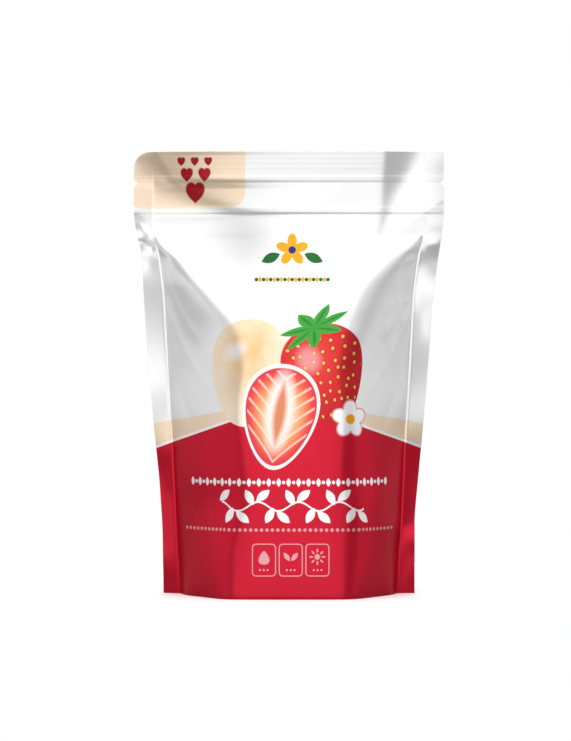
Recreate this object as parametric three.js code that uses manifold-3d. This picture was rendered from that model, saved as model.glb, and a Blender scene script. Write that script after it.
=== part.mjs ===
// A filled stand-up pouch, heat-sealed shut: one piece of laminate film, solid here out to its skin.
// Two flat panels are sealed down both sides and across the top, with a press-to-close zip and a tear
// line under the top seal, and a folded gusset sealed in below that opens into the foot it stands on.
// Millimetres, +Z up, front towards -Y. The origin is on the ground under the middle of the pack.
import * as THREE from 'three';
import { mergeVertices } from 'three/addons/utils/BufferGeometryUtils.js';
import Module from 'manifold-3d';

// The pack as flat film.
const packWidth = 140;
const packHeight = 200;
const sideSeal = 9; // width of the heat seal down each side
const filmThickness = 0.8; // both panels pressed together, with a little body for handling
const cornerRadius = 7; // the one top corner that is rounded off, on the left

// The filled belly, below the zip.
const bellyTop = 168; // height where the panels part
const bellyHalfDepth = 27; // from the side seals to the front, at the foot
const bellyTaper = [2.4, 0.9]; // how late, and how abruptly, the depth dies away towards the top
const faceHalfWidth = 25; // the flat middle of the front panel, between its two long edges
const faceFlareStart = 95; // above this height the flat middle widens towards the top corners
const faceCrown = 1.5; // how far the flat middle still bulges
const edgeRounding = 8; // blend between the flat middle and the side walls
const thinRounding = 0.8; // share of the depth that the blend is held to where the belly is thin
const finTilt = THREE.MathUtils.degToRad(25); // the side seals lean back beside the belly
const finTiltRise = 15; // height over which they come upright again

// The foot.
const rimWidth = 2.5; // sealed rim that the pack stands on
const gussetRise = 16; // highest point of the gusset's fold, towards each side
const gussetRing = 3; // hollow between the rim and the sagging middle of the gusset
const padShare = 0.35; // part of the gusset's depth that sags down onto the ground
const padHalfWidth = 14;
const foldHalfWidth = 38; // where the fold stands highest

// What is pressed into the head of the pack: [height, half width, how far it stands proud].
const ridges = [
  [187.4, 1.1, 0.35], // upper lip of the tear line
  [173.2, 1.2, 0.7], // zip, upper track
  [170.2, 1.1, 0.5], // zip, lower track
];
const topSeal = { from: 188.8, ribs: 5, depth: 0.15 };
const notch = { height: 185.4, depth: 1.6, halfHeight: 1.3 };

const sealedHalf = packWidth / 2 - sideSeal; // half the film between the side seals
const { clamp, lerp, smoothstep } = THREE.MathUtils;

// Half the belly's depth at its middle, at height z.
function bellyDepth(z) {
  const share = Math.min(z / bellyTop, 1);
  return bellyHalfDepth * (1 - share ** bellyTaper[0]) ** bellyTaper[1];
}

// Half the width of the flat middle of the front panel.
function faceReach(z) {
  const share = clamp((z - faceFlareStart) / (bellyTop - faceFlareStart), 0, 1);
  return lerp(faceHalfWidth, sealedHalf, share * share);
}

// Film doesn't stretch, so what the side wall spends on depth it loses in width.
function seamReach(z) {
  const wall = sealedHalf - faceReach(z);
  return faceReach(z) + Math.sqrt(Math.max(wall ** 2 - bellyDepth(z) ** 2, 0));
}

function smoothMin(a, b, blend) {
  const near = Math.max(blend - Math.abs(a - b), 0) / Math.max(blend, 1e-6);
  return Math.min(a, b) - (near * near * blend) / 4;
}

// How far the panel stands off the plane of the side seals at distance x from the middle.
function bulge(x, z) {
  const depth = bellyDepth(z);
  const wall = seamReach(z) - faceReach(z);
  if (depth <= 0 || wall <= 0) return 0;
  const front = depth - (faceCrown * depth / bellyHalfDepth) * (x / faceReach(z)) ** 2;
  const side = (depth / wall) * (seamReach(z) - x);
  return Math.max(smoothMin(front, side, Math.min(edgeRounding, thinRounding * depth)), 0);
}

// Ridges of the zip and the tear line, and the ribs of the top seal.
function headRelief(z) {
  let relief = 0;
  for (const [height, halfWidth, proud] of ridges) {
    const share = clamp(1 - Math.abs(z - height) / halfWidth, 0, 1);
    relief += proud * smoothstep(share, 0, 1);
  }
  if (z > topSeal.from) {
    const turn = (z - topSeal.from) / (packHeight - topSeal.from) * topSeal.ribs;
    relief -= topSeal.depth * (0.5 + 0.5 * Math.cos(2 * Math.PI * turn));
  }
  return relief;
}

// Where the film's point at u across and z up comes to lie: [x, middle plane's y, half thickness].
function filmPoint(u, z) {
  const across = Math.abs(u);
  const seam = seamReach(z);
  const face = faceReach(z);
  if (across <= sealedHalf) {
    const wallShare = clamp((across - face) / Math.max(sealedHalf - face, 1e-6), 0, 1);
    const x = across <= face ? across : lerp(face, seam, wallShare);
    return [Math.sign(u) * x, 0, filmThickness / 2 + bulge(x, z) + headRelief(z)];
  }
  const tilt = finTilt * smoothstep(bellyTop - z, 0, finTiltRise);
  const out = across - sealedHalf;
  const x = Math.sign(u) * (seam + out * Math.cos(tilt));
  const toEdge = Math.min((packWidth / 2 - across) / filmThickness, 1); // thins to a line at the cut edge
  return [x, out * Math.sin(tilt), toEdge * (filmThickness / 2 + headRelief(z))];
}

// Height of the gusset above the ground: it sags flat in the middle and folds up towards each side.
function gussetHeight(x, share) {
  const toSide = smoothstep(x, padHalfWidth, foldHalfWidth);
  const toSeam = clamp((seamReach(0) - x) / (seamReach(0) - foldHalfWidth), 0, 1);
  const ring = clamp((share - padShare) / (1 - padShare), 0, 1);
  const hollow = gussetRing * (1 - toSide) * Math.sin(Math.PI * ring);
  return hollow + gussetRise * toSide * toSeam * (1 - share);
}

// Heights of the rows of points: even over the belly, close together where the head has relief.
function rowHeights() {
  const rows = [];
  const bellyRows = 27;
  for (let i = 0; i < bellyRows; i++) rows.push((bellyTop * i) / bellyRows);
  for (const [height, halfWidth] of [...ridges].reverse()) {
    for (const step of [-1, -0.5, 0, 0.5, 1]) rows.push(height + step * halfWidth);
  }
  const ribRows = 2 * topSeal.ribs;
  for (let i = 0; i <= ribRows; i++) {
    rows.push(lerp(topSeal.from, packHeight, i / ribRows));
  }
  return rows;
}

// Positions across the flat film, from the left edge to the right.
function filmColumns() {
  const bellyColumns = 28;
  const columns = [];
  for (let i = 0; i <= bellyColumns; i++) columns.push(sealedHalf * (2 * i / bellyColumns - 1));
  const fin = [packWidth / 2, packWidth / 2 - filmThickness, packWidth / 2 - sideSeal / 2];
  return [...fin.map((u) => -u), ...columns, ...fin.reverse()];
}

// One closed loop round the pack in the line of u: up the front, down the back, across the gusset.
function profileLoop(u, heights) {
  const front = [];
  const back = [];
  for (const z of heights) {
    const [x, middle, half] = filmPoint(u, z);
    front.push(new THREE.Vector3(x, middle - half, z));
    back.push(new THREE.Vector3(x, middle + half, z));
  }
  const [x, middle, half] = filmPoint(u, 0);
  const inner = half - Math.min(rimWidth, half / 2);
  const under = [];
  for (const share of [1, 0.8, 0.6, padShare, 0, -padShare, -0.6, -0.8, -1]) { // front to back
    const height = gussetHeight(Math.abs(x), Math.abs(share));
    under.push(new THREE.Vector3(x, middle + share * inner, height));
  }
  return [...front, ...back.reverse(), ...under];
}

// Joins neighbouring loops by triangles. At the two cut edges the loops close to a line.
function packSkin() {
  const heights = rowHeights();
  const loops = filmColumns().map((u) => profileLoop(u, heights));
  const count = loops[0].length;
  const corners = [];
  for (let i = 0; i + 1 < loops.length; i++) {
    for (let k = 0; k < count; k++) {
      const next = (k + 1) % count;
      const quad = [loops[i][k], loops[i + 1][k], loops[i + 1][next], loops[i][next]];
      corners.push(quad[0], quad[1], quad[2], quad[0], quad[2], quad[3]);
    }
  }
  return new THREE.BufferGeometry().setFromPoints(corners);
}

const wasm = await Module();
wasm.setup();

function toSolid(geometry) {
  const bare = geometry.clone();
  bare.deleteAttribute('normal');
  bare.deleteAttribute('uv');
  const merged = mergeVertices(bare, 1e-3);
  const triVerts = [];
  for (let i = 0; i < merged.index.count; i += 3) {
    const [a, b, c] = merged.index.array.slice(i, i + 3);
    if (a !== b && b !== c && c !== a) triVerts.push(a, b, c);
  }
  return new wasm.Manifold(new wasm.Mesh({
    numProp: 3,
    vertProperties: merged.attributes.position.array,
    triVerts: new Uint32Array(triVerts),
  }));
}

function toGeometry(solid) {
  const mesh = solid.getMesh();
  const geometry = new THREE.BufferGeometry();
  geometry.setAttribute('position', new THREE.BufferAttribute(mesh.vertProperties, 3));
  geometry.setIndex(new THREE.BufferAttribute(mesh.triVerts, 1));
  geometry.computeVertexNormals();
  return geometry;
}

// A cutter of the given outline in X and Z, long enough in Y to pass through the head of the pack.
function throughCutter(outline) {
  const length = 20;
  const cutter = new THREE.ExtrudeGeometry(outline, { depth: length, bevelEnabled: false, curveSegments: 8 });
  return toSolid(cutter.rotateX(Math.PI / 2).translate(0, length / 2, 0));
}

// What is left outside the rounded top corner on the left.
function cornerOutline() {
  const margin = 1;
  const outline = new THREE.Shape();
  outline.moveTo(-packWidth / 2 + cornerRadius, packHeight);
  outline.absarc(-packWidth / 2 + cornerRadius, packHeight - cornerRadius, cornerRadius, Math.PI / 2, Math.PI);
  outline.lineTo(-packWidth / 2 - margin, packHeight - cornerRadius);
  outline.lineTo(-packWidth / 2 - margin, packHeight + margin);
  outline.lineTo(-packWidth / 2 + cornerRadius, packHeight + margin);
  return outline;
}

// The tear notch on one side, -1 for the left and 1 for the right.
function notchOutline(side) {
  const edge = (side * packWidth) / 2;
  const outline = new THREE.Shape();
  outline.moveTo(edge + side, notch.height + notch.halfHeight);
  outline.lineTo(edge, notch.height + notch.halfHeight);
  outline.lineTo(edge - side * notch.depth, notch.height);
  outline.lineTo(edge, notch.height - notch.halfHeight);
  outline.lineTo(edge + side, notch.height - notch.halfHeight);
  return outline;
}

let solid = toSolid(packSkin());
for (const outline of [cornerOutline(), notchOutline(-1), notchOutline(1)]) {
  solid = solid.subtract(throughCutter(outline));
}

const film = new THREE.MeshStandardMaterial({ color: 0xf2f1ef, roughness: 0.35, metalness: 0.2 });
const pouch = new THREE.Mesh(toGeometry(solid), film);
pouch.name = 'pouch';

const pack = new THREE.Group();
pack.add(pouch);

export default pack;
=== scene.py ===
import math

import bpy
import numpy as np
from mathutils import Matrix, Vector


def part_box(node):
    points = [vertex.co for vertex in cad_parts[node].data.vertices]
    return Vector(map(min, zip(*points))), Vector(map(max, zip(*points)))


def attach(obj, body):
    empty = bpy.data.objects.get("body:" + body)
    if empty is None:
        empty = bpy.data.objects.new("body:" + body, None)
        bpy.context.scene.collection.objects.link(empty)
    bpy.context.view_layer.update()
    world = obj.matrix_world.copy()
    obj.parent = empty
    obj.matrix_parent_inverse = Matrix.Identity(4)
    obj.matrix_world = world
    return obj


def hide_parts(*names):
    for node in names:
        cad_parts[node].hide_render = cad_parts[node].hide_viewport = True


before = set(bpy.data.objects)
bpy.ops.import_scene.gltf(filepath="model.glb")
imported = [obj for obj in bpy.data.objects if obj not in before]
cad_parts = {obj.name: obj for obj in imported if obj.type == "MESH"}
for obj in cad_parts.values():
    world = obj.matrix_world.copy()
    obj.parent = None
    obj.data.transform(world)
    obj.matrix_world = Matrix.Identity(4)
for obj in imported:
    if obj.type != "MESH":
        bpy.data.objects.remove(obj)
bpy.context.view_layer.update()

mm = 0.001  # film is cut and printed in millimetres, and the scene is in metres
packLow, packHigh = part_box("pouch")


def smooth(t):
    t = np.clip(t, 0, 1)
    return t * t * (3 - 2 * t)


def rising(value, span):  # 0 before the span's start, 1 past its end: a span given downwards falls instead
    start, end = span
    return smooth((value - start) / (end - start))


def mix(a, b, t):
    return a + (b - a) * t


def hexColour(text):  # sRGB hex, as picked off a swatch, turned to the linear values that shaders use
    parts = [int(text[i:i + 2], 16) / 255 for i in (1, 3, 5)]
    return (*[c / 12.92 if c <= 0.04045 else ((c + 0.055) / 1.055) ** 2.4 for c in parts], 1)


def deselectAll():
    for item in bpy.context.selected_objects:
        item.select_set(False)


# A long lens looks straight at the front. Tall soft lamps face the front and back, low ones the side walls.
print("camera, lights and floor")
camera = {
    "distance": 1.2,
    "aim": (-0.0014, 0, 0.1007),  # the pack stands a little right of the view's middle and a little low
    "rise": 1.0,  # degrees above level
    "lens": 129.1,
    "sensor": 36,
}


def addCamera():
    deselectAll()
    rise = math.radians(camera["rise"])
    aimX, aimY, aimZ = camera["aim"]
    place = (aimX, aimY - camera["distance"] * math.cos(rise), aimZ + camera["distance"] * math.sin(rise))
    bpy.ops.object.camera_add(location=place, rotation=(math.pi / 2 - rise, 0, 0))
    lens = bpy.context.object
    lens.name = "camera"
    lens.data.lens = camera["lens"]
    lens.data.sensor_width = camera["sensor"]
    bpy.context.scene.camera = lens


lamps = [  # name, place, size across and up, watts: each faces the pack's middle
    ("frontSoftbox", (0.0, -1.9, 0.95), (1.0, 2.8), 11.8),
    ("backSoftbox", (0.0, 1.9, 0.95), (1.0, 2.8), 9.0),
    ("leftSoftbox", (-1.43, -1.0, 0.35), (2.0, 0.8), 2.75),
    ("rightSoftbox", (1.62, -0.6, 0.4), (1.2, 1.2), 2.05),
    ("leftRear", (-1.75, 0.3, 0.35), (0.9, 0.8), 0.75),
    ("rightRear", (1.65, 0.65, 0.35), (0.9, 0.8), 0.75),
    ("rightBounce", (1.0, -1.6, 1.1), (0.8, 0.8), 1.1),
]
topSun = {"height": 2.0, "strength": 2.4, "angle": 50}  # overhead, for the floor
room = {"fill": "#989898", "seen": "#FFFFFF"}  # what lights the pack, and what is seen behind it
paper = {"reach": 0.17, "sides": 64, "seen": "#FCFCFC", "bounce": "#A0A0A0"}  # bounce: what it throws back


def addLamps():
    middle = (packLow.z + packHigh.z) / 2
    for name, place, (across, up), watts in lamps:
        aim = math.atan2(middle - place[2], math.hypot(place[0], place[1]))
        turn = math.atan2(-place[0], place[1]) + math.pi
        deselectAll()
        bpy.ops.object.light_add(type="AREA", location=place, rotation=(math.pi / 2 + aim, 0, turn))
        lamp = bpy.context.object
        lamp.name = name
        lamp.data.shape = "RECTANGLE"
        lamp.data.size = across
        lamp.data.size_y = up
        lamp.data.energy = watts
    deselectAll()
    bpy.ops.object.light_add(type="SUN", location=(0, 0, topSun["height"]))
    sun = bpy.context.object
    sun.name = "overhead"
    sun.data.energy = topSun["strength"]
    sun.data.angle = math.radians(topSun["angle"])


def addNode(tree, kind, inputs=None, **settings):  # inputs by number or name: a value, or a socket to link
    node = tree.nodes.new(kind)
    for name, value in settings.items():
        setattr(node, name, value)
    for name, value in (inputs or {}).items():
        if isinstance(value, bpy.types.NodeSocket):
            tree.links.new(value, node.inputs[name])
        else:
            node.inputs[name].default_value = value
    return node


def addWorld():
    world = bpy.data.worlds.new("studio")
    bpy.context.scene.world = world
    world.use_nodes = True
    tree = world.node_tree
    tree.nodes.clear()
    lit = addNode(tree, "ShaderNodeBackground", {"Color": hexColour(room["fill"])})
    seen = addNode(tree, "ShaderNodeBackground", {"Color": hexColour(room["seen"])})
    ray = addNode(tree, "ShaderNodeLightPath")
    choice = {0: ray.outputs["Is Camera Ray"], 1: lit.outputs[0], 2: seen.outputs[0]}
    both = addNode(tree, "ShaderNodeMixShader", choice)
    addNode(tree, "ShaderNodeOutputWorld", {"Surface": both.outputs[0]})
    bpy.context.scene.view_settings.view_transform = "Standard"


def addFloor():
    deselectAll()
    bpy.ops.mesh.primitive_circle_add(
        vertices=paper["sides"], radius=paper["reach"], fill_type="NGON", location=(0, 0, packLow.z))
    floor = bpy.context.object
    floor.name = "floor"
    matt = bpy.data.materials.new("pale paper")
    matt.use_nodes = True
    tree = matt.node_tree
    tree.nodes.clear()
    ray = addNode(tree, "ShaderNodeLightPath")
    seen = addNode(tree, "ShaderNodeBsdfDiffuse", {"Color": hexColour(paper["seen"])})
    bounce = addNode(tree, "ShaderNodeBsdfDiffuse", {"Color": hexColour(paper["bounce"])})
    choice = {0: ray.outputs["Is Camera Ray"], 1: bounce.outputs[0], 2: seen.outputs[0]}
    both = addNode(tree, "ShaderNodeMixShader", choice)
    addNode(tree, "ShaderNodeOutputMaterial", {"Surface": both.outputs[0]})
    floor.data.materials.append(matt)


addCamera()
addLamps()
addWorld()
addFloor()


# The pouch is one web of laminate film: front panel, gusset and back panel in a row, laid out flat as a grid
# and then moved into shape. In millimetres, u runs across the film, w along it and z up a panel.
print("the pouch's film, folded from one web")
pouch = {
    "width": (packHigh.x - packLow.x) / mm,
    "height": (packHigh.z - packLow.z) / mm - 0.5,  # the film ends half a millimetre under the solid's top
    "sideSeal": 8.6,
    "thickness": 0.3,
    "cutEdge": 0.05,
    "corner": {"radius": 7.0, "from": 186.6},  # rounded at the top left alone
    "notch": {"height": 185.4, "depth": 1.7, "half": 1.6, "from": 61.5},
    "bellyTop": 162.5,
    "bellyHalfDepth": 27.0,
    "bellyTaper": (2.4, 0.88),  # how late, and how abruptly, the depth dies away towards the top
    "bellyStart": 2.2,  # over which the front and back part from each other without a crease
    "faceCrown": {"low": 1.5, "high": 0.9, "change": (40, 80), "to": 1.6},  # how far its middle stands out
    "wallBow": {"low": 0.74, "high": 1.1, "change": (45, 105)},  # side walls: under 1 they bow out, over 1 in
    "wallStart": 0.9,  # the most of the depth that its softened corner may take
    "lens": {"depth": 2.6, "under": (171.5, 158.5), "over": (120, 150), "ease": 1.5},  # swell below the zip
    "footRound": {"back": 12.0, "across": (23, 45), "to": 42.0, "ease": 1.4},  # the foot's outline rounds off
    "footKick": {"out": 1.6, "to": 30.0, "over": 25.0, "ease": 1.6},  # the panels stand out over the rim
    "gussetLength": 60.0,  # of film between the front panel's foot and the back panel's
    "rimWidth": 2.5,
    "rimRound": 3.0,
    "rimFlat": 1.1,  # over 1, so that the gusset's outermost tenth lies flat
    "gussetRise": 16.0,
    "gussetRing": 3.0,
    "padShare": 0.35,
    "padHalfWidth": 14.0,
    "foldHalfWidth": 38.0,
    "weld": 0.02,
    "smoothAngle": 50,
}
halfWidth = pouch["width"] / 2
sealedHalf = halfWidth - pouch["sideSeal"]
# How far the front's flat face reaches to either side before the wall turns back, at heights up the pack.
faceEdge = {
    -1: {0: 37, 12: 33, 26: 29, 42: 25, 60: 26, 78: 27, 100: 25, 112: 27, 119: 30.5, 132: 40.5, 141: 47,
         150: 52, 154: 56.5, 157: 60},
    1: {0: 35, 24: 33, 42: 31, 56: 29, 75: 29, 100: 27, 112: 30, 123: 35, 137: 40.5, 146: 46.5, 152: 52,
        158: 59.5},
}
cornerBlend = {0: 6, 60: 6, 90: 4.2, 110: 5.5, 122: 7, 135: 5.5, 150: 3}  # how softly it turns into the wall
# The inside of the side seals. Film doesn't stretch: what the walls spend on depth is lost here in width.
seamAt = {0: 50, 30: 51.6, 70: 53.4, 105: 55.5, 135: 57, 148: 58.6, 157: 60.2, 168: 61.4}
edgeAt = {  # and their cut edges, left and right
    -1: {0: 56.6, 30: 57, 50: 58.3, 70: 60.3, 105: 63.3, 135: 65.5, 153: 66.1, 162: 68.6, 170: 70},
    1: {0: 57, 35: 57, 70: 60.3, 105: 63.2, 132: 64.8, 148: 67, 162: 69.1, 170: 70},
}
# Inside each side seal lies a flat lip with a low bead. Further up a faint line marks the seal's inner edge.
sealLip = {"width": 1.15, "fade": (164, 152)}
sealBead = {"rise": 0.06, "in": 0.5, "reach": 0.6, "head": 0.15, "fade": (152, 164)}
sealLine = {"depth": 0.09, "from": (160, 168), "across": (0.35, -0.35)}
gridSpacing = {  # mm between the grid's points
    "middle": 0.9,
    "strip": 0.65,
    "seam": 0.35,
    "seamReach": (1.9, 3.9),
    "belly": 1.05,
    "head": 0.42,
    "headFrom": (-8, -2),  # from the belly's top
    "gusset": 2.6,
}


def hump(value, centre, reach):
    return np.exp(-((value - centre) / reach) ** 2)


def through(points, z, soft=4.0):  # a smooth line through the values given at heights
    heights = sorted(points)
    values = [points[height] for height in heights]
    return sum(np.interp(z + shift, heights, values) for shift in np.linspace(-soft, soft, 9)) / 9


def bySide(table, u, z):
    return np.where(u < 0, through(table[-1], z), through(table[1], z))


def smoothMin(a, b, blend):
    near = np.maximum(blend - np.abs(a - b), 0) / blend
    return np.minimum(a, b) - near * near * blend / 4


def bellyDepth(z):
    late, abrupt = pouch["bellyTaper"]
    share = np.clip(z / pouch["bellyTop"], 0, 1)
    full = pouch["bellyHalfDepth"]
    depth = full * (1 - share ** late) ** abrupt
    return depth * depth / (depth + pouch["bellyStart"]) * (1 + pouch["bellyStart"] / full)


def footShape(x, z):  # how far the foot's outline falls back towards the sides, and how far it kicks out
    turn, kick = pouch["footRound"], pouch["footKick"]
    back = turn["back"] * rising(x, turn["across"]) ** turn["ease"] * np.clip(1 - z / turn["to"], 0, 1)
    inside = smooth((through(seamAt, z) - x) / kick["over"])
    return back, kick["out"] * np.clip(1 - z / kick["to"], 0, 1) ** kick["ease"] * inside


def bulge(x, u, z):  # how far a panel stands out from the plane of the side seals
    slack = hump(u, headSlack["at"], headSlack["reach"])
    depth = bellyDepth(z + headSlack["drop"] * slack * rising(z, headSlack["dropFrom"]))
    face = bySide(faceEdge, u, z)
    seam = through(seamAt, z) - sealLip["width"] * rising(z, sealLip["fade"])
    back, kick = footShape(x, z)
    # The flat face, a little crowned ...
    crown, wall = pouch["faceCrown"], pouch["wallBow"]
    proud = mix(crown["low"], crown["high"], rising(z, crown["change"])) * depth / pouch["bellyHalfDepth"]
    front = depth - proud * np.minimum(x / np.maximum(face, 1), crown["to"]) ** 4 - back
    # ... blends into the side wall, which runs down to the seam.
    bow = mix(wall["low"], wall["high"], rising(z, wall["change"]))
    share = np.clip((seam - x) / np.maximum(seam - face, 1e-3), 0, 4)
    side = depth * np.where(share < 1, share ** bow, 1 + bow * (share - 1))
    blend = np.maximum(np.minimum(through(cornerBlend, z), pouch["wallStart"] * depth), 1e-3)
    belly = (np.maximum(smoothMin(front, side, blend), 0) + kick) * (depth > 0)
    # Above the belly the film still swells a little, up to the zip.
    lens = pouch["lens"]
    swell = lens["depth"] * rising(z, lens["under"]) * rising(z, lens["over"])
    swell = swell * np.cos(math.pi / 2 * np.clip(x / seam, 0, 1)) ** lens["ease"]
    return belly + swell * (1 - headSlack["flat"] * slack)


# Steps pressed into the head: height, how far the film comes forward there going up, over what height.
headSteps = [
    (188.6, -0.14, 1.2),
    (186.0, 0.14, 0.6),
    (174.6, -0.17, 1.2),
    (171.7, 0.17, 0.6),
    (169.4, 0.03, 0.6),
]
sealRibs = {"from": 188.6, "to": 198.4, "pitch": 2.4, "depth": 0.02}


def reliefAt(z):
    relief = sum(proud * smooth((z - height) / over + 0.5) for height, proud, over in headSteps)
    ribs = 0.5 + 0.5 * np.cos(2 * math.pi * (z - sealRibs["from"]) / sealRibs["pitch"])
    return relief - sealRibs["depth"] * ribs * (z > sealRibs["from"]) * (z < sealRibs["to"])


# Folds: start and end across and up the film, rise, width to the left and right of the line, and its bow.
frontFolds = [
    ((-59.5, 151), (-40, 112), 0.2, 1.5, 4.0, 3),
    ((-60, 138), (-36, 92), 0.2, 1.5, 4.0, 4),
    ((-60.5, 121), (-46, 74), -0.16, 3.0, 2.0, 3),
    ((60, 149), (42, 114), 0.3, 4.0, 1.2, -3),
    ((60, 135), (35, 90), 0.3, 4.0, 1.2, -4),
    ((60.5, 119), (44, 72), -0.18, 2.0, 3.5, -3),
    ((50, 144), (58, 118), 0.14, 1.5, 2.5, 2),
    ((46, 128), (56, 96), 0.14, 1.5, 2.5, 2),
    ((59.5, 151.5), (48, 147), 0.16, 1.1, 0.9, 0.5),
    ((59.5, 132.3), (50, 131.6), 0.16, 1.0, 0.9, 0),
    ((50, 131.6), (45, 126), 0.14, 1.2, 1.0, 0),
    ((58, 127.5), (46, 108), 0.16, 1.6, 1.0, -1),
    ((59.5, 96.3), (52, 95.4), 0.14, 1.0, 0.9, 0.5),
    ((-58, 130), (-57, 92), 0.16, 1.6, 1.4, 0),
    ((54, 38), (44, 8), 0.2, 5.0, 3.0, 0),
    ((-57, 60), (-40, 30), -0.14, 4.0, 5.0, 2),
]
backFolds = [
    ((-60, 148), (-40, 108), 0.23, 1.5, 4.0, 3),
    ((-60, 128), (-36, 84), -0.2, 3.0, 3.0, 3),
    ((60, 150), (41, 116), 0.23, 4.0, 1.5, -3),
    ((60, 132), (37, 88), 0.2, 4.0, 1.5, -4),
    ((60, 112), (45, 70), -0.18, 2.0, 3.5, -3),
    ((-12, 140), (4, 128), -0.23, 5.0, 5.0, 0),
    ((52, 42), (32, 8), 0.23, 6.0, 3.0, 0),
    ((-54, 40), (-42, 9), 0.27, 2.0, 5.0, 0),
]
edgeFolds = [  # in the side seals, through both panels
    ((-70, 170), (-63, 160), 0.3, 1.2, 2.5, 0),
    ((-70, 160), (-62, 155), -0.4, 1.8, 1.8, 0),
]
foldShape = {"taper": 4, "bluntEnd": 0.15, "beyond": 3, "round": 0.2}  # its ends, and how blunt its ridge is
foldFade = {"foot": (1, 9), "seam": (0.6, 4.6), "belly": (0, 5)}  # where the folds die away


def crease(u, z, start, end, rise, before, after, bow):
    along = np.array(end) - np.array(start)
    length = math.hypot(*along)
    along = along / length
    run = ((u - start[0]) * along[0] + (z - start[1]) * along[1]) / length
    held = np.clip(run, 0, 1)
    off = (u - start[0]) * along[1] - (z - start[1]) * along[0] - bow * 4 * held * (1 - held)
    fade = smooth(np.minimum(held, 1 - held) * foldShape["taper"] + foldShape["bluntEnd"])
    fade = fade * hump(run - held, 0, foldShape["beyond"] / length)
    width = np.where(off < 0, before, after)
    ridge = np.exp(foldShape["round"] - np.hypot(off / width, foldShape["round"]))
    return rise * fade * ridge


# Slack film lies in long shallow waves, each the product of two: its height, and then for either of the two
# its run across and up, in mm to the radian, and how many times the panel's phase shifts it.
filmWaves = [
    (0.1, (9, 21, 1), (-31, 17, 2)),
    (0.04, (4.3, -7.9, 3), (math.inf, 9.7, 1)),
]
panelPhase = {"front": 0.4, "back": 1.7}  # so that the waves of the two panels differ
tautFoot = {"centre": 3, "across": (28, 14), "up": (70, 40), "share": 0.7}  # the flat face's foot is taut
calmTop = 12  # and so is the belly's uppermost part


def softWaves(u, z, phase):
    waves = 0
    for height, *pair in filmWaves:
        across, up = (np.sin(u / runU + z / runZ + shift * phase) for runU, runZ, shift in pair)
        waves = waves + height * across * up
    taut = rising(np.abs(u - tautFoot["centre"]), tautFoot["across"]) * rising(z, tautFoot["up"])
    return waves * (1 - tautFoot["share"] * taut) * smooth((pouch["bellyTop"] - z) / calmTop)


# The side seals turn back a little from the front, and wave. Waves: side, height, reach up and down, and how
# many degrees further back they turn along the seam and at the cut edge.
sealBack = 2
sealWaves = [
    (-1, 2, 9, 10, 5),
    (-1, 15, 5, 0, -8),
    (-1, 55, 9, 12, 3),
    (-1, 86, 16, -9, -9),
    (-1, 136, 20, 5, 4),
    (-1, 149, 4, 4, -10),
    (-1, 154, 3, -6, 0),
    (-1, 157, 2.5, 3, 12),
    (-1, 162, 3, 0, -6),
    (-1, 168, 3, 0, 14),
    (1, 4, 6, 0, 10),
    (1, 15, 5, 3, -8),
    (1, 25, 5, -8, -7),
    (1, 36, 8, 9, 3),
    (1, 59, 14, 13, 9),
    (1, 104, 16, 5, 4),
    (1, 123, 8, 2, -10),
    (1, 136, 7, -5, -2),
    (1, 149, 6, 0, 11),
    (1, 152, 4, 9, 0),
    (1, 158, 3, -9, 6),
    (1, 167, 4, -4, 0),
    (1, 188, 13, 3, 6),
]
sealCurl = 0.3  # the share of a seal's width from which it turns from the one slope towards the other
# The flat head waves and carries both panels along. On the right it bends back from a line on, most at the
# top, and beyond that comes slowly forward again.
headBend = {
    "line": (41.5, 0.1),  # how far right it runs, and how much further for each mm up
    "lineFrom": 170,
    "lineDown": -20,  # from there down it runs upright
    "soft": 1.6,
    "width": (6.0, 17.0),
    "widen": (172, 200),
    "narrow": -0.4,
    "slope": (0.23, 0.37),
    "steepen": (176, 192),
    "return": 0.05,
    "fade": (156, 170),
}
# On the left it steps back, below and left of a path.
headDip = {
    "path": {200: -60, 185: -51, 177: -34.5, 171.6: -27, 168: -22, 160: -22, 150: -22},
    "pathSoft": 2,
    "left": {200: 10, 190: 9, 185: 12, 177: 12, 171: 10, 166: 32, 160: 36},  # the step's reach to either side
    "right": {200: 38, 192: 32, 186: 22, 180: 14, 175: 9, 171: 11, 166: 30, 160: 34},
    "back": {200: 7.5, 184: 6.0, 176: 3.8, 170: 2.9, 164: 2.9, 154: 1.2},
    "steep": 1.6,
    "sealFlat": (184, 192),  # below this the side seal doesn't take part
    "sealFrom": 0.4,
    "fade": (138, 154),
}
headRipple = {  # a run in mm to the radian and a start, across and up
    "rise": (0.25, 0.06),
    "calm": (176, 186),
    "across": (8.5, 0.7),
    "up": (11, 1),
    "fade": (160, 170),
}
headLean = {"from": 186.5, "slope": 0.072}  # the top seal leans forward
# Slack left of the middle, under the zip: there the head stays flat, and the belly starts lower.
headSlack = {"at": -44.0, "reach": 31.0, "flat": 0.92, "drop": 1.5, "dropFrom": (144, 152)}


def bendBack(u, z):
    at, lean = headBend["line"]
    off = u - (at + lean * np.maximum(z - headBend["lineFrom"], headBend["lineDown"]))
    low, high = headBend["widen"]
    width = mix(*headBend["width"], np.clip((z - low) / (high - low), headBend["narrow"], 1))
    slope = mix(*headBend["slope"], rising(z, headBend["steepen"]))
    fallen = np.clip(0.5 * (off + np.sqrt(off ** 2 + headBend["soft"] ** 2)), 0, width)
    back = np.minimum(headBend["return"] * np.maximum(off - width, 0), slope * width / 2)
    return (slope * (fallen - fallen ** 2 / (2 * width)) - back) * rising(z, headBend["fade"])


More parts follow.
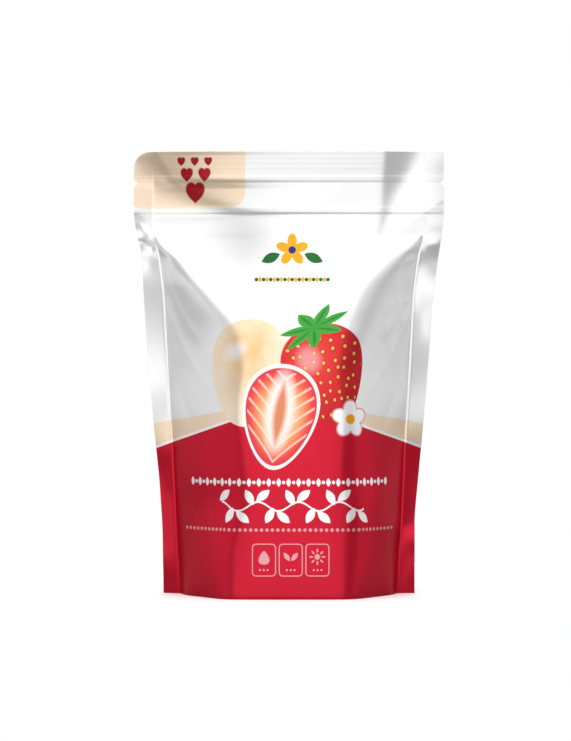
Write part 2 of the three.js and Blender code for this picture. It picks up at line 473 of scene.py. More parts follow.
def dipBack(u, z):
    path, soft = headDip["path"], headDip["pathSoft"]
    lean = through(path, z + 0.5, soft) - through(path, z - 0.5, soft)
    held = mix(np.maximum(u, -sealedHalf - headDip["sealFrom"]), u, rising(z, headDip["sealFlat"]))
    across = (held - through(path, z, soft)) / np.sqrt(1 + lean ** 2)
    reach = np.where(across < 0, through(headDip["left"], z), through(headDip["right"], z))
    step = 0.5 - 0.5 * np.tanh(headDip["steep"] * across / reach)
    return through(headDip["back"], z) * step * rising(z, headDip["fade"])


def headWave(u, z):  # how far back the middle plane lies
    (waveU, startU), (waveZ, startZ) = headRipple["across"], headRipple["up"]
    ripple = mix(*headRipple["rise"], rising(z, headRipple["calm"])) * rising(z, headRipple["fade"])
    ripple = ripple * np.sin(u / waveU + startU) * np.sin(z / waveZ + startZ)
    edges = sum(crease(u, z, *fold) for fold in edgeFolds)
    seal = headLean["slope"] * np.maximum(z - headLean["from"], 0)
    return bendBack(u, z) + dipBack(u, z) + ripple - edges - seal


def sealTurn(u, z, edge):  # the slope at which a side seal turns back: edge 0 is the seam, 1 the cut edge
    degrees = sealBack
    for side, height, reach, *turns in sealWaves:
        degrees = degrees + turns[edge] * (np.sign(u) == side) * hump(z, height, reach)
    return np.tan(np.radians(degrees))


def panelPoints(u, z):  # where film at u and z comes to lie: x, the middle plane's y, and half the thickness
    across = np.abs(u)
    seam = through(seamAt, z)
    face = bySide(faceEdge, u, z)
    wallShare = np.clip((across - face) / np.maximum(sealedHalf - face, 1e-6), 0, 1)
    xPanel = np.where(across <= face, across, mix(face, seam, wallShare))
    out = np.clip((across - sealedHalf) / pouch["sideSeal"], 0, 1)
    strip = bySide(edgeAt, u, z) - seam
    x = np.where(across <= sealedHalf, xPanel, seam + out * strip)
    curled = np.maximum(out - sealCurl, 0) ** 2 / (2 * (1 - sealCurl))
    middle = strip * (sealTurn(u, z, 0) * (out - curled) + sealTurn(u, z, 1) * curled) + headWave(u, z)
    bead = sealBead["rise"] * mix(1, sealBead["head"], rising(z, sealBead["fade"]))
    bead = bead * hump(across, sealedHalf - sealBead["in"], sealBead["reach"])
    line = sealLine["depth"] * rising(z, sealLine["from"]) * rising(across - sealedHalf, sealLine["across"])
    half = pouch["thickness"] / 2 + reliefAt(z) + bead - line
    half = half + np.where(across <= sealedHalf, bulge(xPanel, u, z), 0)
    return np.sign(u) * x, middle, half


def gussetHeight(x, share):
    toSide = rising(np.abs(x), (pouch["padHalfWidth"], pouch["foldHalfWidth"]))
    foot = through(seamAt, 0)
    toSeam = np.clip((foot - np.abs(x)) / (foot - pouch["foldHalfWidth"]), 0, 1)
    ring = np.clip((share - pouch["padShare"]) / (1 - pouch["padShare"]), 0, 1)
    hollow = pouch["gussetRing"] * (1 - toSide) * np.sin(math.pi * ring)
    return hollow + pouch["gussetRise"] * toSide * toSeam * (1 - share)


def panelHeight(w):  # whether film at w is on the back, and how far up its panel: under 0 in the gusset
    onBack = w < -pouch["gussetLength"] / 2
    return onBack, np.where(onBack, -w - pouch["gussetLength"], w)


def formWeb(u, w, apart):
    onBack, z = panelHeight(w)
    under = z < 0
    x, middle, half = panelPoints(u, np.maximum(z, 0))
    half = half * apart
    reach = 1 - np.clip(-z / (pouch["gussetLength"] / 2), 0, 1)  # from a panel's foot to the gusset's middle
    inner = half - np.minimum(pouch["rimWidth"], half / 2) * smooth(-z / pouch["rimRound"])
    y = middle + np.where(onBack, 1, -1) * np.where(under, inner * reach, half)
    lift = gussetHeight(x, np.minimum(reach * pouch["rimFlat"], 1))
    return np.stack([x, y, np.where(under, lift, np.maximum(z, 0))], axis=-1)


def foldWeb(places, u, w):  # presses the folds and waves into the film, square to its surface
    onBack, z = panelHeight(w)
    down, right = np.gradient(places, axis=(0, 1))
    outward = np.cross(right, down)
    outward = outward / np.maximum(np.linalg.norm(outward, axis=-1, keepdims=True), 1e-9)
    front = softWaves(u, z, panelPhase["front"]) + sum(crease(u, z, *fold) for fold in frontFolds)
    back = softWaves(u, z, panelPhase["back"]) + sum(crease(u, z, *fold) for fold in backFolds)
    inPanel = rising(z, foldFade["foot"]) * rising(sealedHalf - np.abs(u), foldFade["seam"])
    inPanel = inPanel * rising(bellyDepth(z), foldFade["belly"])
    return places + outward * (np.where(onBack, back, front) * inPanel)[..., None]


def trimWeb(u, w):  # draws the film's edge in to the rounded corner and the tear notches
    onBack, z = panelHeight(w)
    radius, low = pouch["corner"]["radius"], pouch["corner"]["from"]
    inset = np.clip(radius - (u + halfWidth), 0, radius)
    top = pouch["height"] - radius + np.sqrt(radius ** 2 - inset ** 2)
    z = np.where(z > low, low + (z - low) * (top - low) / (pouch["height"] - low), z)
    notch = pouch["notch"]
    edge = halfWidth - notch["depth"] * np.clip(1 - np.abs(z - notch["height"]) / notch["half"], 0, 1)
    across = np.abs(u)
    drawn = notch["from"] + (across - notch["from"]) * (edge - notch["from"]) / (halfWidth - notch["from"])
    u = np.sign(u) * np.where(across > notch["from"], drawn, across)
    return u, np.where(onBack, -z - pouch["gussetLength"], z)


def columnSpacing(u):
    offSeam = np.abs(np.abs(u) - sealedHalf)
    plain = np.where(np.abs(u) > sealedHalf, gridSpacing["strip"], gridSpacing["middle"])
    return mix(gridSpacing["seam"], plain, rising(offSeam, gridSpacing["seamReach"]))


def rowSpacing(w):
    z = np.where(w >= 0, w, -w - pouch["gussetLength"])
    inGusset = (w < 0) & (w > -pouch["gussetLength"])
    inHead = rising(z - pouch["bellyTop"], gridSpacing["headFrom"])
    return np.where(inGusset, gridSpacing["gusset"], mix(gridSpacing["belly"], gridSpacing["head"], inHead))


def spreadLines(start, end, spacing, steps=4000):  # positions from start to end, as close as spacing says
    fine = np.linspace(start, end, steps + 1)
    density = 1 / spacing(fine)
    total = np.concatenate([[0], np.cumsum((density[1:] + density[:-1]) / 2 * abs(end - start) / steps)])
    count = math.ceil(total[-1])
    return np.interp(np.linspace(0, total[-1], count + 1), total, fine)


def makeWeb():
    rim = pouch["cutEdge"]
    inner = spreadLines(-halfWidth + rim, halfWidth - rim, columnSpacing)
    columns = np.concatenate([[-halfWidth], inner, [halfWidth]])
    low, high = -pouch["gussetLength"] - pouch["height"], pouch["height"]
    rows = np.concatenate([[low], spreadLines(low + rim, high - rim, rowSpacing), [high]])
    deselectAll()
    bpy.ops.mesh.primitive_grid_add(x_subdivisions=len(columns) - 1, y_subdivisions=len(rows) - 1, size=1)
    film = bpy.context.object
    film.name = "pouchFilm"
    mesh = film.data
    u, w = np.meshgrid(columns, rows)
    offTop = np.minimum(high - w, w - low)
    apart = np.clip(np.minimum(halfWidth - np.abs(u), offTop) / rim, 0, 1)  # the panels meet at the cut edges
    u, w = trimWeb(u, w)
    places = foldWeb(formWeb(u, w, apart), u, w)
    mesh.vertices.foreach_set("co", (places * mm).astype(np.float32).ravel())
    corners = np.zeros(len(mesh.loops), dtype=np.int32)
    mesh.loops.foreach_get("vertex_index", corners)
    flat = np.stack([u.ravel()[corners], w.ravel()[corners]], axis=-1) * mm
    mesh.uv_layers[0].name = "film"
    mesh.uv_layers[0].uv.foreach_set("vector", flat.astype(np.float32).ravel())
    mesh.update()
    return film


def closeWeb(film):
    bpy.context.view_layer.objects.active = film
    film.select_set(True)
    bpy.ops.object.mode_set(mode="EDIT")
    bpy.ops.mesh.select_all(action="SELECT")
    bpy.ops.mesh.remove_doubles(threshold=pouch["weld"] * mm)
    bpy.ops.mesh.normals_make_consistent(inside=False)
    bpy.ops.object.mode_set(mode="OBJECT")
    bpy.ops.object.shade_smooth_by_angle(angle=math.radians(pouch["smoothAngle"]))


web = makeWeb()
closeWeb(web)
triangles = sum(len(face.vertices) - 2 for face in web.data.polygons)
print("pouch film:", len(web.data.vertices), "points,", triangles, "triangles")

# The print is shader figures laid out in millimetres on the flat film: x from the middle, y up from the foot.
print("the print and the film's finish")
inks = {
    "film": "#F7F7F7",
    "beige": "#FBE3C8",
    "red": "#D2062D",
    "white": "#FFFFFF",
    "pink": "#E9A3A8",
    "gold": "#FCAB1A",
    "leaf": "#3FA43A",
    "leafDark": "#1F6B2E",
    "navy": "#26307C",
    "tabRed": "#B0101C",
    "berry": ("#E9473F", "#D9252B", "#A3121B"),
    "seed": "#EBC55A",
    "seedHollow": "#B3141C",
    "gloss": "#F2B9BD",
    "coating": ("#FDEBD4", "#FBDDB6", "#F6C285"),
    "flesh": ("#FCE9DF", "#F7A36B", "#EE5548", "#DE2741"),
    "vein": "#FCE3D6",
    "core": "#D9783A",
    "pith": "#FBEFEA",
}
outOfSight = 9.0  # added to a figure's field where none of it may show


def drawPrint(tree):
    sheet = addNode(tree, "ShaderNodeUVMap", uv_map="film")
    toMm = {0: sheet.outputs[0], "Scale": 1 / mm}
    front = addNode(tree, "ShaderNodeVectorMath", toMm, operation="SCALE").outputs[0]
    split = addNode(tree, "ShaderNodeSeparateXYZ", {0: front})
    fold = pouch["gussetLength"] / 2
    past = addNode(tree, "ShaderNodeMath", {0: split.outputs["Y"], 1: fold}, operation="ADD").outputs[0]
    away = addNode(tree, "ShaderNodeMath", {0: past}, operation="ABSOLUTE").outputs[0]
    height = addNode(tree, "ShaderNodeMath", {0: away, 1: fold}, operation="SUBTRACT").outputs[0]
    both = addNode(tree, "ShaderNodeCombineXYZ", {0: split.outputs["X"], 1: height}).outputs[0]
    turned = {0: front, "Location": (0, -pouch["gussetLength"], 0), "Rotation": (0, 0, math.pi)}
    back = addNode(tree, "ShaderNodeMapping", turned).outputs[0]

    # Each layer: a field, the value at its figure's edge, how soft that is, the ink, and how much it covers.
    layers = colourFields(tree, both, split.outputs["X"], height)
    for figures in (tabFigures, emblem, coatedBerry, wholeBerry, blossom, cutBerry, ornaments):
        layers += figures(tree, front)
    layers += backFigures(tree, back)
    colour = hexColour(inks["film"])
    for field, edge, blur, ink, cover in layers:
        stencil = addNode(tree, "ShaderNodeMapRange", {
            "Value": field, "From Min": edge - blur, "From Max": edge + blur, "To Min": cover, "To Max": 0.0})
        over = hexColour(ink) if isinstance(ink, str) else ink
        mixed = {0: stencil.outputs[0], 6: colour, 7: over}
        colour = addNode(tree, "ShaderNodeMix", mixed, data_type="RGBA").outputs[2]
    return colour


def ellipse(tree, at, centre, radii, turn=0):  # 1 on the outline, less inside
    local = addNode(tree, "ShaderNodeMapping", {
        0: at, "Location": (*centre, 0), "Rotation": (0, 0, math.radians(turn)), "Scale": (*radii, 1)},
        vector_type="TEXTURE").outputs[0]
    return addNode(tree, "ShaderNodeVectorMath", {0: local}, operation="LENGTH").outputs["Value"]


def leaf(tree, at, centre, size, turn=0):  # pointed at both ends, 1 on the outline
    half = (size[0] / 2, size[1] / 2, 1)
    local = addNode(tree, "ShaderNodeMapping", {
        0: at, "Location": (*centre, 0), "Rotation": (0, 0, math.radians(turn)), "Scale": half},
        vector_type="TEXTURE").outputs[0]
    split = addNode(tree, "ShaderNodeSeparateXYZ", {0: local})
    across = addNode(tree, "ShaderNodeMath", {0: split.outputs["Y"]}, operation="ABSOLUTE").outputs[0]
    pointed = {0: split.outputs["X"], 1: split.outputs["X"], 2: across}
    return addNode(tree, "ShaderNodeMath", pointed, operation="MULTIPLY_ADD").outputs[0]


def heart(tree, at, centre, size, notch=0.65):
    local = addNode(tree, "ShaderNodeMapping", {
        0: at, "Location": (*centre, 0), "Scale": (size / 2, size / 2, 1)}, vector_type="TEXTURE").outputs[0]
    split = addNode(tree, "ShaderNodeSeparateXYZ", {0: local})
    across = addNode(tree, "ShaderNodeMath", {0: split.outputs["X"]}, operation="ABSOLUTE").outputs[0]
    dip = addNode(tree, "ShaderNodeMath", {0: across}, operation="SQRT").outputs[0]
    dipped = {0: dip, 1: -notch, 2: split.outputs["Y"]}
    lift = addNode(tree, "ShaderNodeMath", dipped, operation="MULTIPLY_ADD").outputs[0]
    shape = addNode(tree, "ShaderNodeCombineXYZ", {0: across, 1: lift}).outputs[0]
    return addNode(tree, "ShaderNodeVectorMath", {0: shape}, operation="LENGTH").outputs["Value"]


def roundedBox(tree, at, centre, half, corner):  # the corner's radius on the outline
    inner = (half[0] - corner, half[1] - corner, 1)
    moved = addNode(tree, "ShaderNodeVectorMath", {0: at, 1: (*centre, 0)}, operation="SUBTRACT").outputs[0]
    folded = addNode(tree, "ShaderNodeVectorMath", {0: moved}, operation="ABSOLUTE").outputs[0]
    beyond = addNode(tree, "ShaderNodeVectorMath", {0: folded, 1: inner}, operation="SUBTRACT").outputs[0]
    outside = addNode(tree, "ShaderNodeVectorMath", {0: beyond, 1: (0, 0, 0)}, operation="MAXIMUM").outputs[0]
    return addNode(tree, "ShaderNodeVectorMath", {0: outside}, operation="LENGTH").outputs["Value"]


def around(tree, at, centre, count, turn=0, squash=1):  # every one of count equal sectors reads as the first
    local = addNode(tree, "ShaderNodeMapping", {
        0: at, "Location": (*centre, 0), "Rotation": (0, 0, math.radians(turn)), "Scale": (1, squash, 1)},
        vector_type="TEXTURE").outputs[0]
    split = addNode(tree, "ShaderNodeSeparateXYZ", {0: local})
    out = addNode(tree, "ShaderNodeVectorMath", {0: local}, operation="LENGTH").outputs["Value"]
    heading = {0: split.outputs["Y"], 1: split.outputs["X"]}
    angle = addNode(tree, "ShaderNodeMath", heading, operation="ARCTAN2").outputs[0]
    sector = {0: angle, 1: -math.pi / count, 2: math.pi / count}
    own = addNode(tree, "ShaderNodeMath", sector, operation="WRAP").outputs[0]
    polar = addNode(tree, "ShaderNodeCombineXYZ", {0: 1.0}).outputs[0]
    heading = {"Vector": polar, "Angle": own}
    turned = addNode(tree, "ShaderNodeVectorRotate", heading, rotation_type="Z_AXIS").outputs[0]
    return addNode(tree, "ShaderNodeVectorMath", {0: turned, "Scale": out}, operation="SCALE").outputs[0]


def inRow(tree, at, start, pitch):  # every stretch of one pitch reads as the first, centred on start
    split = addNode(tree, "ShaderNodeSeparateXYZ", {0: at})
    stretch = {0: split.outputs["X"], 1: start - pitch / 2, 2: start + pitch / 2}
    own = addNode(tree, "ShaderNodeMath", stretch, operation="WRAP").outputs[0]
    return addNode(tree, "ShaderNodeCombineXYZ", {0: own, 1: split.outputs["Y"]}).outputs[0]


def within(tree, field, at, centre, half):  # the field, but nothing beyond a box
    box = addNode(tree, "ShaderNodeMapping", {
        0: at, "Location": (*centre, 0), "Scale": (*half, 1)}, vector_type="TEXTURE").outputs[0]
    folded = addNode(tree, "ShaderNodeVectorMath", {0: box}, operation="ABSOLUTE").outputs[0]
    split = addNode(tree, "ShaderNodeSeparateXYZ", {0: folded})
    sides = {0: split.outputs["X"], 1: split.outputs["Y"]}
    side = addNode(tree, "ShaderNodeMath", sides, operation="MAXIMUM").outputs[0]
    past = addNode(tree, "ShaderNodeMath", {0: side, 1: 1.0}, operation="GREATER_THAN").outputs[0]
    kept = {0: past, 1: outOfSight, 2: field}
    return addNode(tree, "ShaderNodeMath", kept, operation="MULTIPLY_ADD").outputs[0]


def berryShape(tree, at, size):  # local place on the berry, and its field: 1 on the outline
    local = addNode(tree, "ShaderNodeMapping", {
        0: at, "Location": (*size["centre"], 0), "Rotation": (0, 0, math.radians(size["turn"])),
        "Scale": (*size["half"], 1)}, vector_type="TEXTURE").outputs[0]
    split = addNode(tree, "ShaderNodeSeparateXYZ", {0: local})
    widen = {0: split.outputs["Y"], 1: size["taper"], 2: 1.0}
    breadth = addNode(tree, "ShaderNodeMath", widen, operation="MULTIPLY_ADD").outputs[0]
    narrowed = {0: split.outputs["X"], 1: breadth}
    across = addNode(tree, "ShaderNodeMath", narrowed, operation="DIVIDE").outputs[0]
    place = addNode(tree, "ShaderNodeCombineXYZ", {0: across, 1: split.outputs["Y"]}).outputs[0]
    return place, addNode(tree, "ShaderNodeVectorMath", {0: place}, operation="LENGTH").outputs["Value"]


def patch(own, name):  # centre and radii of a patch that is given in shares of a berry's half sizes
    right, up, wide, high = own[name]
    (x, y), (w, h) = own["centre"], own["half"]
    return (x + right * w, y + up * h), (wide * w, high * h)


def ramp(tree, value, places, colours):  # inks laid along a value
    node = addNode(tree, "ShaderNodeValToRGB", {0: value})
    while len(node.color_ramp.elements) < len(places):
        node.color_ramp.elements.new(0.5)
    for element, place, ink in zip(node.color_ramp.elements, places, colours):
        element.position = place
        element.color = hexColour(ink)
    return node.outputs[0]


fields = {  # the beige band and the red field under it, each highest in the middle, like a roof
    "bandTop": 87.3,
    "bandFall": 0.149,
    "redTop": 85.8,
    "redFall": 0.288,
    "roofBlunt": 4.0,
    "whiteLine": 1.2,
    "tab": {"centre": (-47.0, 194.0), "half": (27.4, 20.1), "corner": 8.0},
}


def colourFields(tree, both, across, height):
    blunted = {0: across, 1: across, 2: fields["roofBlunt"] ** 2}
    square = addNode(tree, "ShaderNodeMath", blunted, operation="MULTIPLY_ADD").outputs[0]
    reach = addNode(tree, "ShaderNodeMath", {0: square}, operation="SQRT").outputs[0]
    bandRoof = {0: reach, 1: fields["bandFall"], 2: height}
    band = addNode(tree, "ShaderNodeMath", bandRoof, operation="MULTIPLY_ADD").outputs[0]
    redRoof = {0: reach, 1: fields["redFall"], 2: height}
    red = addNode(tree, "ShaderNodeMath", redRoof, operation="MULTIPLY_ADD").outputs[0]
    tab = fields["tab"]
    tabField = roundedBox(tree, both, tab["centre"], tab["half"], tab["corner"])
    return [
        (band, fields["bandTop"], 0.1, inks["beige"], 1),
        (red, fields["redTop"] + fields["whiteLine"], 0.1, inks["white"], 1),
        (red, fields["redTop"], 0.1, inks["red"], 1),
        (tabField, tab["corner"], 0.1, inks["beige"], 1),
    ]


tabHearts = [  # place and size
    ((-48.5, 194.6), 3.6),
    ((-42.4, 194.6), 3.6),
    ((-36.3, 194.6), 3.6),
    ((-46.0, 188.4), 5.6),
    ((-38.0, 188.4), 5.6),
    ((-42.2, 180.0), 8.6),
]


def tabFigures(tree, front):
    return [(heart(tree, front, centre, size), 1, 0.08, inks["tabRed"], 1) for centre, size in tabHearts]


badge = {
    "centre": (1.6, 155.0),
    "petals": 5,
    "petal": (3.3, 2.1),
    "petalOut": 4.1,
    "core": 1.7,
    "leaf": (9.0, 4.4),
    "leafOut": (9.6, -3.6),
    "leafTurn": -24,
    "row": {"height": 141.6, "pitch": 3.2, "bead": 0.85, "beadBox": (17.6, 3), "diamond": (2.6, 1.5),
            "diamondBox": (16.0, 3)},
}


def flower(tree, front, own):  # the fields of its petals and of its core
    petal = around(tree, front, own["centre"], own["petals"], turn=90)
    petals = ellipse(tree, petal, (own["petalOut"], 0), own["petal"])
    return petals, ellipse(tree, front, own["centre"], (own["core"], own["core"]))


def emblem(tree, front):
    petals, core = flower(tree, front, badge)
    x, y = badge["centre"]
    outX, outY = badge["leafOut"]
    layers = []
    for side in (-1, 1):
        shape = leaf(tree, front, (x + side * outX, y + outY), badge["leaf"], turn=side * badge["leafTurn"])
        layers.append((shape, 1, 0.06, inks["leafDark"], 1))
    layers += [(petals, 1, 0.05, inks["gold"], 1), (core, 1, 0.08, inks["navy"], 1)]
    row = badge["row"]
    middle = (x, row["height"])
    bead = ellipse(tree, inRow(tree, front, x, row["pitch"]), middle, (row["bead"], row["bead"]))
    layers.append((within(tree, bead, front, middle, row["beadBox"]), 1, 0.1, inks["leafDark"], 1))
    between = x - row["pitch"] / 2
    own = inRow(tree, front, between, row["pitch"])
    diamond = leaf(tree, own, (between, row["height"]), row["diamond"], turn=90)
    layers.append((within(tree, diamond, front, middle, row["diamondBox"]), 1, 0.1, inks["gold"], 1))
    return layers


redBerry = {
    "centre": (16.5, 99.5),
    "half": (18.0, 22.5),
    "turn": 14,
    "taper": 0.30,
    "light": (-0.35, 0.3, 2.1, 2.1),
    "skin": (0, 0.35, 0.85),
    "gloss": (-0.42, 0.28, 0.34, 0.3),
    "glossTurn": 20,
    "seedPitch": (4.1, 4.6),
    "seedMess": 0.45,
    "bareRim": 0.94,
    "crownUp": 0.94,
    "crown": {"leaves": 7, "turn": 12, "squash": 0.5, "out": 8.2, "leaf": (17.5, 6.4), "vein": (15.0, 1.5)},
}


def wholeBerry(tree, front):
    own = redBerry
    place, body = berryShape(tree, front, own)
    skin = ramp(tree, ellipse(tree, front, *patch(own, "light")), own["skin"], inks["berry"])
    (x, y), (w, h) = own["centre"], own["half"]
    across, up = own["seedPitch"]
    cell = {0: place, 1: (w / across, h / up, 1)}
    grid = addNode(tree, "ShaderNodeVectorMath", cell, operation="MULTIPLY").outputs[0]
    spread = {"Vector": grid, "Scale": 1.0, "Randomness": own["seedMess"]}
    cells = addNode(tree, "ShaderNodeTexVoronoi", spread, voronoi_dimensions="2D").outputs["Distance"]
    inRim = addNode(tree, "ShaderNodeMath", {0: body, 1: own["bareRim"]}, operation="GREATER_THAN").outputs[0]
    kept = {0: inRim, 1: outOfSight, 2: cells}
    seeds = addNode(tree, "ShaderNodeMath", kept, operation="MULTIPLY_ADD").outputs[0]
    gloss = ellipse(tree, front, *patch(own, "gloss"), turn=own["glossTurn"])
    crown, up, lean = own["crown"], own["crownUp"] * h, math.radians(own["turn"])
    stalk = (x - up * math.sin(lean), y + up * math.cos(lean))
    sector = around(tree, front, stalk, crown["leaves"], own["turn"] + crown["turn"], crown["squash"])
    calyx = leaf(tree, sector, (crown["out"], 0), crown["leaf"])
    vein = leaf(tree, sector, (crown["out"], 0), crown["vein"])
    return [
        (body, 1, 0.01, skin, 1),
        (seeds, 0.27, 0.05, inks["seedHollow"], 0.75),
        (gloss, 0.8, 0.35, inks["gloss"], 0.55),
        (seeds, 0.16, 0.03, inks["seed"], 1),
        (calyx, 1, 0.05, inks["leaf"], 1),
        (vein, 1, 0.3, inks["leafDark"], 0.6),
    ]


paleBerry = {
    "centre": (-17.5, 100.0),
    "half": (18.5, 24.0),
    "turn": -8,
    "taper": 0.16,
    "light": (0, 0.35, 1.3, 1.5),
    "clouds": {"Scale": 2.2, "Detail": 2.0},
    "cloudShare": 0.5,
    "skin": (0.25, 0.6, 1.0),
    "gloss": (-0.35, 0.4, 0.32, 0.16),
    "glossTurn": 35,
}


def coatedBerry(tree, front):
    own = paleBerry
    place, body = berryShape(tree, front, own)
    cloudy = {"Vector": place, **own["clouds"]}
    clouds = addNode(tree, "ShaderNodeTexNoise", cloudy, noise_dimensions="2D").outputs[0]
    shaded = {0: clouds, 1: own["cloudShare"], 2: ellipse(tree, front, *patch(own, "light"))}
    shade = addNode(tree, "ShaderNodeMath", shaded, operation="MULTIPLY_ADD").outputs[0]
    skin = ramp(tree, shade, own["skin"], inks["coating"][::-1])
    gloss = ellipse(tree, front, *patch(own, "gloss"), turn=own["glossTurn"])
    return [(body, 1, 0.01, skin, 1), (gloss, 0.8, 0.5, inks["white"], 0.8)]


smallBlossom = {"centre": (27.5, 79.5), "petals": 5, "petal": (3.6, 2.9), "petalOut": 4.4, "core": 2.2}


def blossom(tree, front):
    petals, core = flower(tree, front, smallBlossom)
    return [
        (petals, 1.2, 0.05, inks["pink"], 1),
        (petals, 1, 0.05, inks["white"], 1),
        (core, 1, 0.1, inks["gold"], 1),
    ]


halvedBerry = {
    "centre": (-4.0, 80.5),
    "half": (16.5, 23.5),
    "turn": -9,
    "taper": 0.26,
    "flesh": (0.2, 0.55, 0.78, 0.93),
    "veinSlant": -0.7,
    "veinCount": 24.0,
    "veinTo": 0.88,
    "pith": (0, 0.1, 0.36, 0.72),
    "core": (0, 0.06, 0.36, 1.25),
}


def cutBerry(tree, front):
    own = halvedBerry
    place, body = berryShape(tree, front, own)
    flesh = ramp(tree, body, own["flesh"], inks["flesh"])
    split = addNode(tree, "ShaderNodeSeparateXYZ", {0: place})
    across = addNode(tree, "ShaderNodeMath", {0: split.outputs["X"]}, operation="ABSOLUTE").outputs[0]
    slanted = {0: across, 1: own["veinSlant"], 2: split.outputs["Y"]}
    slant = addNode(tree, "ShaderNodeMath", slanted, operation="MULTIPLY_ADD").outputs[0]
    wave = addNode(tree, "ShaderNodeMath", {0: slant, 1: own["veinCount"]}, operation="MULTIPLY").outputs[0]
    lines = addNode(tree, "ShaderNodeMath", {0: wave}, operation="SINE").outputs[0]
    beyond = addNode(tree, "ShaderNodeMath", {0: body, 1: own["veinTo"]}, operation="GREATER_THAN").outputs[0]
    kept = {0: beyond, 1: outOfSight, 2: lines}
    veins = addNode(tree, "ShaderNodeMath", kept, operation="MULTIPLY_ADD").outputs[0]
    pith = ellipse(tree, front, *patch(own, "pith"), own["turn"])
    centre, (thick, long) = patch(own, "core")
    core = leaf(tree, front, centre, (long, thick), own["turn"] + 90)
    return [
        (body, 1, 0.01, inks["white"], 1),
        (body, 0.93, 0.015, flesh, 1),
        (veins, -0.72, 0.2, inks["vein"], 0.65),
        (pith, 1, 0.25, inks["pith"], 0.9),
        (core, 0.9, 0.4, inks["core"], 0.9),
    ]


upperRow = {"height": 51.6, "pitch": 4.4, "diamond": (3.8, 1.9), "bead": 0.75, "box": (49.8, 4)}
lowerRow = {"height": 30.6, "pitch": 2.4, "bead": 0.75, "box": (53.9, 3)}
vine = {
    "height": 41.0,
    "wave": 18,
    "swing": -2.0,
    "line": 0.42,
    "middle": 1.6,
    "box": (32.6, 6),
    "leaf": (7.6, 3.6),
    "leafBox": 9,
}
# Its leaves: start of the stretch, place, turn, and the middle and half length of what is drawn of the row.
vineLeaves = [
    (4.5, (6.6, 4.8), 40, (-2.4, 36)),
    (-4.5, (-2.4, -4.8), -40, (6.6, 36)),
    (0.0, (0.6, 4.0), 118, (0.6, 27)),
    (9.0, (9.6, -4.0), 62, (0.6, 36)),
]
boxes = {
    "centre": (0.9, 17.4),
    "pitch": 11.8,
    "half": (5.1, 7.0),
    "corner": 1.6,
    "line": 0.22,
    "box": (17.7, 8),
    "drop": {"up": 1.0, "half": (2.2, 3.0), "turn": 180, "taper": 0.5},
    "sprig": {"out": 1.7, "up": 1.4, "leaf": (4.6, 2.0), "turn": 38},
    "sun": {"up": 1.4, "rays": 8, "rayOut": 2.7, "ray": (0.9, 0.38), "disc": 1.2},
    "ticks": {"up": -4.4, "pitch": 1.7, "bead": 0.45, "box": (2.55, 1)},
}


def vineFigures(tree, front):
    split = addNode(tree, "ShaderNodeSeparateXYZ", {0: front})
    turning = {0: split.outputs["X"], 1: 2 * math.pi / vine["wave"]}
    turns = addNode(tree, "ShaderNodeMath", turning, operation="MULTIPLY").outputs[0]
    swing = addNode(tree, "ShaderNodeMath", {0: turns}, operation="SINE").outputs[0]
    swung = {0: swing, 1: vine["swing"], 2: split.outputs["Y"]}
    rise = addNode(tree, "ShaderNodeMath", swung, operation="MULTIPLY_ADD").outputs[0]
    offStem = addNode(tree, "ShaderNodeMath", {0: rise, 1: vine["height"]}, operation="SUBTRACT").outputs[0]
    stem = addNode(tree, "ShaderNodeMath", {0: offStem}, operation="ABSOLUTE").outputs[0]
    stem = within(tree, stem, front, (vine["middle"], vine["height"]), vine["box"])
    layers = [(stem, vine["line"], 0.08, inks["white"], 1)]
    for start, (x, up), turn, (middle, half) in vineLeaves:
        stretch = inRow(tree, front, start, vine["wave"])
        shape = leaf(tree, stretch, (x, vine["height"] + up), vine["leaf"], turn)
        shape = within(tree, shape, front, (middle, vine["height"]), (half, vine["leafBox"]))
        layers.append((shape, 1, 0.06, inks["white"], 1))
    return layers


def boxFigures(tree, front):  # three boxes in outline, with a drop, a sprig and a sun over dotted lines
    x, y = boxes["centre"]
    pitch = boxes["pitch"]
    own = roundedBox(tree, inRow(tree, front, x, pitch), (x, y), boxes["half"], boxes["corner"])
    offRim = addNode(tree, "ShaderNodeMath", {0: own, 1: boxes["corner"]}, operation="SUBTRACT").outputs[0]
    rim = addNode(tree, "ShaderNodeMath", {0: offRim}, operation="ABSOLUTE").outputs[0]
    layers = [(within(tree, rim, front, (x, y), boxes["box"]), boxes["line"], 0.06, inks["pink"], 1)]
    drop, sprig, sun, ticks = boxes["drop"], boxes["sprig"], boxes["sun"], boxes["ticks"]
    shapes = [berryShape(tree, front, {**drop, "centre": (x - pitch, y + drop["up"])})[1]]
    for side in (-1, 1):
        place = (x + side * sprig["out"], y + sprig["up"])
        shapes.append(leaf(tree, front, place, sprig["leaf"], 90 - side * sprig["turn"]))
    place = (x + pitch, y + sun["up"])
    shapes.append(ellipse(tree, around(tree, front, place, sun["rays"]), (sun["rayOut"], 0), sun["ray"]))
    shapes.append(ellipse(tree, front, place, (sun["disc"], sun["disc"])))
    layers += [(shape, 1, 0.08, inks["pink"], 1) for shape in shapes]
    height = y + ticks["up"]
    tick = ellipse(tree, inRow(tree, front, x, ticks["pitch"]), (x, height), (ticks["bead"], ticks["bead"]))
    for middle in (x - pitch, x, x + pitch):
        layers.append((within(tree, tick, front, (middle, height), ticks["box"]), 1, 0.15, inks["pink"], 1))
    return layers


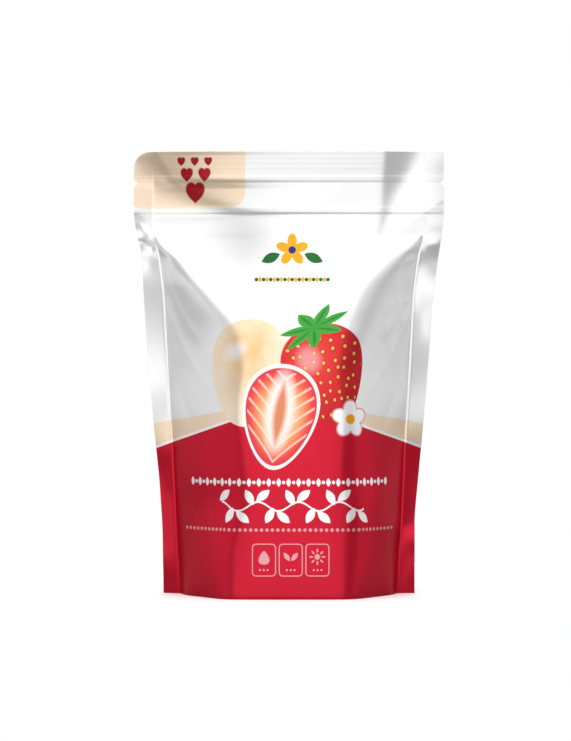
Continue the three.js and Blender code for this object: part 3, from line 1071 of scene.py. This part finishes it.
def ornaments(tree, front):
    height, pitch, bead = (upperRow[name] for name in ("height", "pitch", "bead"))
    upper = leaf(tree, inRow(tree, front, 0, pitch), (0, height), upperRow["diamond"], turn=90)
    beads = ellipse(tree, inRow(tree, front, pitch / 2, pitch), (pitch / 2, height), (bead, bead))
    low, lowBead = lowerRow["height"], lowerRow["bead"]
    lower = ellipse(tree, inRow(tree, front, 0, lowerRow["pitch"]), (0, low), (lowBead, lowBead))
    return [
        (within(tree, upper, front, (0, height), upperRow["box"]), 1, 0.08, inks["white"], 1),
        (within(tree, beads, front, (0, height), upperRow["box"]), 1, 0.1, inks["white"], 1),
        (within(tree, lower, front, (0, low), lowerRow["box"]), 1, 0.12, inks["pink"], 1),
        *vineFigures(tree, front),
        *boxFigures(tree, front),
    ]


backPanel = {"centre": (0, 126), "half": (44, 26), "corner": 6}
backInside = {"centre": (0, 126), "half": (42.6, 24.6), "corner": 5}
backRow = {"height": 50.8, "pitch": 3.2, "bead": 0.85, "box": (52, 3)}
backLabel = {"centre": (0, 26), "half": (30, 12), "corner": 3}


def backFigures(tree, back):
    layers = []
    for box, ink in ((backPanel, "beige"), (backInside, "white"), (backLabel, "beige")):
        layers.append((roundedBox(tree, back, **box), box["corner"], 0.1, inks[ink], 1))
    middle = (0, backRow["height"])
    row = ellipse(tree, inRow(tree, back, 0, backRow["pitch"]), middle, (backRow["bead"], backRow["bead"]))
    layers.append((within(tree, row, back, middle, backRow["box"]), 1, 0.1, inks["white"], 1))
    return layers


filmFinish = {"metallic": 0.6, "roughness": 0.3}


# Printed polyester over aluminised film. To the eye it is even and satin, with a silvery sheen on the ink
# where it mirrors a lamp, and grey where it turns away.
def laminateFilm():
    film = bpy.data.materials.new("printed metallised laminate")
    film.use_nodes = True
    tree = film.node_tree
    shader = tree.nodes["Principled BSDF"]
    tree.links.new(drawPrint(tree), shader.inputs["Base Color"])
    shader.inputs["Metallic"].default_value = filmFinish["metallic"]
    shader.inputs["Roughness"].default_value = filmFinish["roughness"]
    return film


web.data.materials.append(laminateFilm())

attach(web, "root")
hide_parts("pouch")
